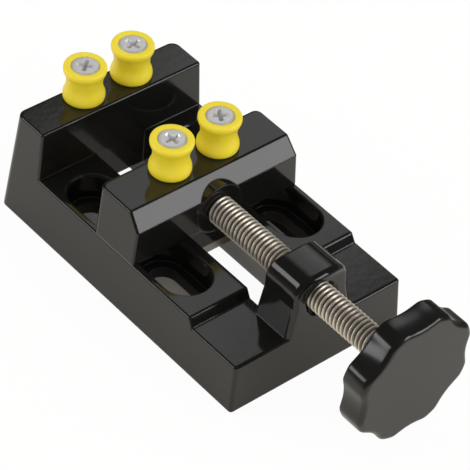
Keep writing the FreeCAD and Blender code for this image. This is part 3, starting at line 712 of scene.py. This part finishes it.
def make_peg_plastic():
    made, tree, shader = new_material(
        "yellow_peg_plastic", IOR=1.46, Subsurface_Weight=0.15, Subsurface_Scale=1.2 * MM
    )
    shader.inputs["Subsurface Radius"].default_value = PEG_GLOW_DEPTH
    skin = place_group(tree, coated_skin, Peel=0.6, Grain=0.5)
    body = blend_colours(tree, skin.outputs["Blotch"], PEG_DEEP, PEG_BRIGHT)
    dusty = weaken(tree, skin.outputs["Dust"], share=0.35)
    paint(tree, shader, dusty, body, PEG_DUSTY)
    polish(tree, shader, skin.outputs["Blotch"], start=0.36, rise=0.12)
    add_relief(tree, shader, skin.outputs["Height"], PEG_RELIEF)
    return made


def add_peg(node_name, body, material):
    low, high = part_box(node_name)
    middle = Vector(((low[0] + high[0]) / 2, (low[1] + high[1]) / 2, low[2]))
    bm = bmesh.new()
    rings = []
    for radius, height in PEG_SECTION:
        ring = []
        for step in range(PEG_STEPS):
            angle = 2 * math.pi * step / PEG_STEPS
            spoke = Vector((radius * math.cos(angle), radius * math.sin(angle), height))
            ring.append(bm.verts.new(middle + spoke * MM))
        rings.append(ring)
    for first, following in zip(rings, rings[1:] + rings[:1]):
        join_rings(bm, first, following)
    add_piece(node_name + "_moulded", bm, material, body, [node_name])


peg_plastic = make_peg_plastic()
screw_rows = cross_screw_rows(
    head=3.66 * MM,
    shank=2.0 * MM,
    length=16.9 * MM,
    half_arm=0.60 * MM,
    reach=2.30 * MM,
    depth=2.0 * MM,
)
sunk_rows = [[(x, y, z - HEAD_SINK) for x, y, z in row] for row in screw_rows]
for place, spin in PEG_SCREW_SPINS.items():
    body = "moving_jaw" if place.startswith("moving") else "base"
    add_peg("peg_" + place, body, peg_plastic)
    add_cross_screw("peg_screw_" + place, head_zinc, body, sunk_rows, spin)

# ---------------------------------------------------------------------------
# Studio. A white paper sweep and a white room, with two softboxes. Reflections see a darker room
# with one bright panel, and a floor that is pale near the vise and dark beyond. The bolt slots look
# down on shaded paper, and from underneath the floor is open.

FLOOR_HALF = 3000.0 * MM
FLOOR_DROP = 0.05 * MM
PAPER_DEEP = (0.88, 0.85, 0.79)
PAPER_PALE = (0.90, 0.87, 0.81)
PAPER_SHADED = (0.50, 0.45, 0.38)
PAPER_GLOW = 0.95

# Painted shade lies under the two rails: from the slot between them to just inside the base's side.
SHADED_INNER = 8.0 * MM
SHADED_OUTER = 27.5 * MM
SHADED_MIDDLE = 16.0 * MM
SHADED_HALF_LENGTH = 45.0 * MM
SHADED_DIMMING = 0.95

# What reflections see of the floor, and where it falls off: with distance, and to the right.
MIRRORED_NEAR = (0.80, 0.75, 0.67)
MIRRORED_FAR = (0.10, 0.095, 0.085)
MIRRORED_NEAR_GLOW = 0.4
MIRRORED_FAR_GLOW = 0.95
FALL_OFF = (130.0 * MM, 260.0 * MM)
FALL_OFF_RIGHT = (45.0 * MM, 85.0 * MM)

# The room: its light, what reflections see of it, and the panel, which is the part of a round
# patch (its way, and its core and rim in degrees from that) that a level strip cuts out.
ROOM_GLOW = 0.92
REFLECTED_ROOM_GLOW = 0.04
PANEL_WAY = (0.56, 0.53, 0.64)
PANEL_CORE = 16.0
PANEL_RIM = 30.0
STRIP = (0.506, 0.565)
STRIP_SOFTNESS = 0.045
LAMP_TARGET = Vector((0.0, 0.0, 20.0 * MM))


def covered_mask(tree, parts):
    """1 on the paper under the rails, where shade from the vise is painted on."""
    off_centre = do_math(tree, "ABSOLUTE", parts["X"])
    beside_slot = do_math(tree, "GREATER_THAN", off_centre, SHADED_INNER)
    under_rail = do_math(tree, "LESS_THAN", off_centre, SHADED_OUTER)
    off_middle = do_math(tree, "ABSOLUTE", do_math(tree, "SUBTRACT", parts["Y"], SHADED_MIDDLE))
    within = do_math(tree, "LESS_THAN", off_middle, SHADED_HALF_LENGTH)
    return do_math(tree, "MULTIPLY", do_math(tree, "MULTIPLY", beside_slot, under_rail), within)


def far_mask(tree, parts):
    """0 on the floor near the vise and 1 far from it, or a little way to its right."""
    place = add_node(tree, "ShaderNodeTexCoord")
    aside = add_node(tree, "ShaderNodeVectorMath", operation="LENGTH")
    tree.links.new(place.outputs["Object"], aside.inputs[0])
    beyond = ramp(tree, aside.outputs["Value"], *FALL_OFF)
    return do_math(tree, "MAXIMUM", beyond, ramp(tree, parts["X"], *FALL_OFF_RIGHT))


def mix_shaders(tree, factor, first, second):
    made = add_node(tree, "ShaderNodeMixShader")
    for index, source in enumerate((factor, first, second)):
        tree.links.new(source, made.inputs[index])
    return made.outputs[0]


def make_floor_material():
    """White to the camera and through glass, paper to light, and its own tones in reflections."""
    made = bpy.data.materials.new("white_sweep")
    made.use_nodes = True
    tree = made.node_tree
    tree.nodes.clear()
    parts = separate(tree)
    covered = covered_mask(tree, parts)
    clouds = noise_field(tree, features_per_mm=0.02, detail=2.0)
    paper_tone = blend_colours(tree, clouds, PAPER_DEEP, PAPER_PALE)
    paper = add_node(tree, "ShaderNodeBsdfDiffuse")
    feed(tree, blend_colours(tree, covered, paper_tone, PAPER_SHADED), paper.inputs["Color"])

    ray = add_node(tree, "ShaderNodeLightPath").outputs
    straight = do_math(tree, "MAXIMUM", ray["Is Camera Ray"], ray["Is Transmission Ray"])
    far = far_mask(tree, parts)
    gain = MIRRORED_FAR_GLOW - MIRRORED_NEAR_GLOW
    mirrored_glow = graded(tree, far, start=MIRRORED_NEAR_GLOW, rise=gain)
    mirrored = do_math(tree, "MULTIPLY", ray["Is Glossy Ray"], mirrored_glow)
    seen = weaken(tree, straight, PAPER_GLOW)
    glowing = do_math(tree, "MAXIMUM", seen, mirrored)
    bare = do_math(tree, "SUBTRACT", 1.0, weaken(tree, covered, SHADED_DIMMING))
    reflected = blend_colours(tree, far, MIRRORED_NEAR, MIRRORED_FAR)
    glow = add_node(tree, "ShaderNodeEmission")
    feed(tree, blend_colours(tree, straight, reflected, (1.0, 1.0, 1.0)), glow.inputs["Color"])

    share = do_math(tree, "MULTIPLY", bare, glowing)
    above = mix_shaders(tree, share, paper.outputs[0], glow.outputs[0])
    backfacing = add_node(tree, "ShaderNodeNewGeometry").outputs["Backfacing"]
    clear = add_node(tree, "ShaderNodeBsdfTransparent").outputs[0]
    leave = add_node(tree, "ShaderNodeOutputMaterial")
    tree.links.new(mix_shaders(tree, backfacing, above, clear), leave.inputs["Surface"])
    return made


def add_floor():
    bm = bmesh.new()
    corners = [(-1, -1), (1, -1), (1, 1), (-1, 1)]
    spread = [(x * FLOOR_HALF, y * FLOOR_HALF, -FLOOR_DROP) for x, y in corners]
    bm.faces.new([bm.verts.new(place) for place in spread])
    mesh = bpy.data.meshes.new("floor")
    bm.to_mesh(mesh)
    bm.free()
    mesh.materials.append(make_floor_material())
    floor = bpy.data.objects.new("floor", mesh)
    bpy.context.scene.collection.objects.link(floor)


def panel_mask(tree):
    """1 for directions near the panel's way, down to 0 at its rim."""
    place = add_node(tree, "ShaderNodeTexCoord")
    dot = add_node(tree, "ShaderNodeVectorMath", operation="DOT_PRODUCT")
    tree.links.new(place.outputs["Generated"], dot.inputs[0])
    dot.inputs[1].default_value = Vector(PANEL_WAY).normalized()
    rim, core = (math.cos(math.radians(angle)) for angle in (PANEL_RIM, PANEL_CORE))
    return ramp(tree, dot.outputs["Value"], rim, core)


def strip_mask(tree):
    """1 for directions whose share along +Y lies within the strip."""
    low, high = STRIP
    along = separate(tree, "Generated")["Y"]
    past_low = ramp(tree, along, low - STRIP_SOFTNESS, low)
    return do_math(tree, "MULTIPLY", past_low, ramp(tree, along, high + STRIP_SOFTNESS, high))


def make_room():
    """White to the camera and through glass, evenly lit, and darker with a panel in reflections."""
    world = bpy.data.worlds.new("white_room")
    world.use_nodes = True
    tree = world.node_tree
    room = tree.nodes["Background"]
    room.inputs["Color"].default_value = (1.0, 1.0, 1.0, 1.0)
    panel = do_math(tree, "MULTIPLY", panel_mask(tree), strip_mask(tree))
    reflected = do_math(tree, "ADD", panel, REFLECTED_ROOM_GLOW)
    darkening = do_math(tree, "SUBTRACT", reflected, ROOM_GLOW)
    ray = add_node(tree, "ShaderNodeLightPath").outputs
    lit = graded(tree, ray["Is Glossy Ray"], start=ROOM_GLOW, rise=darkening)
    straight = do_math(tree, "MAXIMUM", ray["Is Camera Ray"], ray["Is Transmission Ray"])
    tree.links.new(do_math(tree, "MAXIMUM", lit, straight), room.inputs["Strength"])
    bpy.context.scene.world = world


def way_to(bearing, elevation):
    """Direction from the vise, at a bearing from -Y towards +X and an elevation, in degrees."""
    bearing, elevation = math.radians(bearing), math.radians(elevation)
    level = math.cos(elevation)
    return Vector((math.sin(bearing) * level, -math.cos(bearing) * level, math.sin(elevation)))


def add_softbox(name, bearing, elevation, distance, size, radiance):
    """Rectangular lamp that looks at the vise."""
    way = way_to(bearing, elevation)
    lamp = bpy.data.lights.new(name, "AREA")
    lamp.shape = "RECTANGLE"
    lamp.size, lamp.size_y = size
    lamp.energy = radiance * size[0] * size[1] * math.pi
    made = bpy.data.objects.new(name, lamp)
    made.location = LAMP_TARGET + way * distance
    made.rotation_euler = way.to_track_quat("Z", "Y").to_euler()
    bpy.context.scene.collection.objects.link(made)


add_floor()
make_room()
add_softbox(
    "front_softbox", bearing=31.0, elevation=22.0, distance=1.2, size=(0.70, 0.60), radiance=4.3
)
add_softbox(
    "rear_softbox", bearing=-125.0, elevation=19.0, distance=1.2, size=(0.70, 0.42), radiance=3.6
)

# ---------------------------------------------------------------------------
# Camera. A long lens that looks down on the vise from the left of its front. Its place is in
# metres and its angles are in degrees; the shift only centres the vise in the frame.

CAMERA_PLACE = (-0.3565, -0.36435, 0.4907)
CAMERA_BEARING = -43.978
CAMERA_ELEVATION = 42.65
CAMERA_ROLL = 6.047
LENS_LENGTH = 212.1
SENSOR_WIDTH = 36.0
LENS_SHIFT = (0.0110, -0.0034)
NEAR_CLIP = 0.05


def add_camera():
    bearing, roll = math.radians(CAMERA_BEARING), math.radians(CAMERA_ROLL)
    forward = -way_to(CAMERA_BEARING, CAMERA_ELEVATION)
    right = Vector((math.cos(bearing), math.sin(bearing), 0.0))
    up = right.cross(forward)
    across = right * math.cos(roll) + up * math.sin(roll)
    upward = up * math.cos(roll) - right * math.sin(roll)
    lens = bpy.data.cameras.new("camera")
    lens.sensor_width = SENSOR_WIDTH
    lens.lens = LENS_LENGTH
    lens.shift_x, lens.shift_y = LENS_SHIFT
    lens.clip_start = NEAR_CLIP
    made = bpy.data.objects.new("camera", lens)
    turn = Matrix((across, upward, -forward)).transposed()
    made.matrix_world = Matrix.Translation(CAMERA_PLACE) @ turn.to_4x4()
    bpy.context.scene.collection.objects.link(made)
    bpy.context.scene.camera = made


add_camera()
bpy.context.scene.view_settings.view_transform = "Standard"
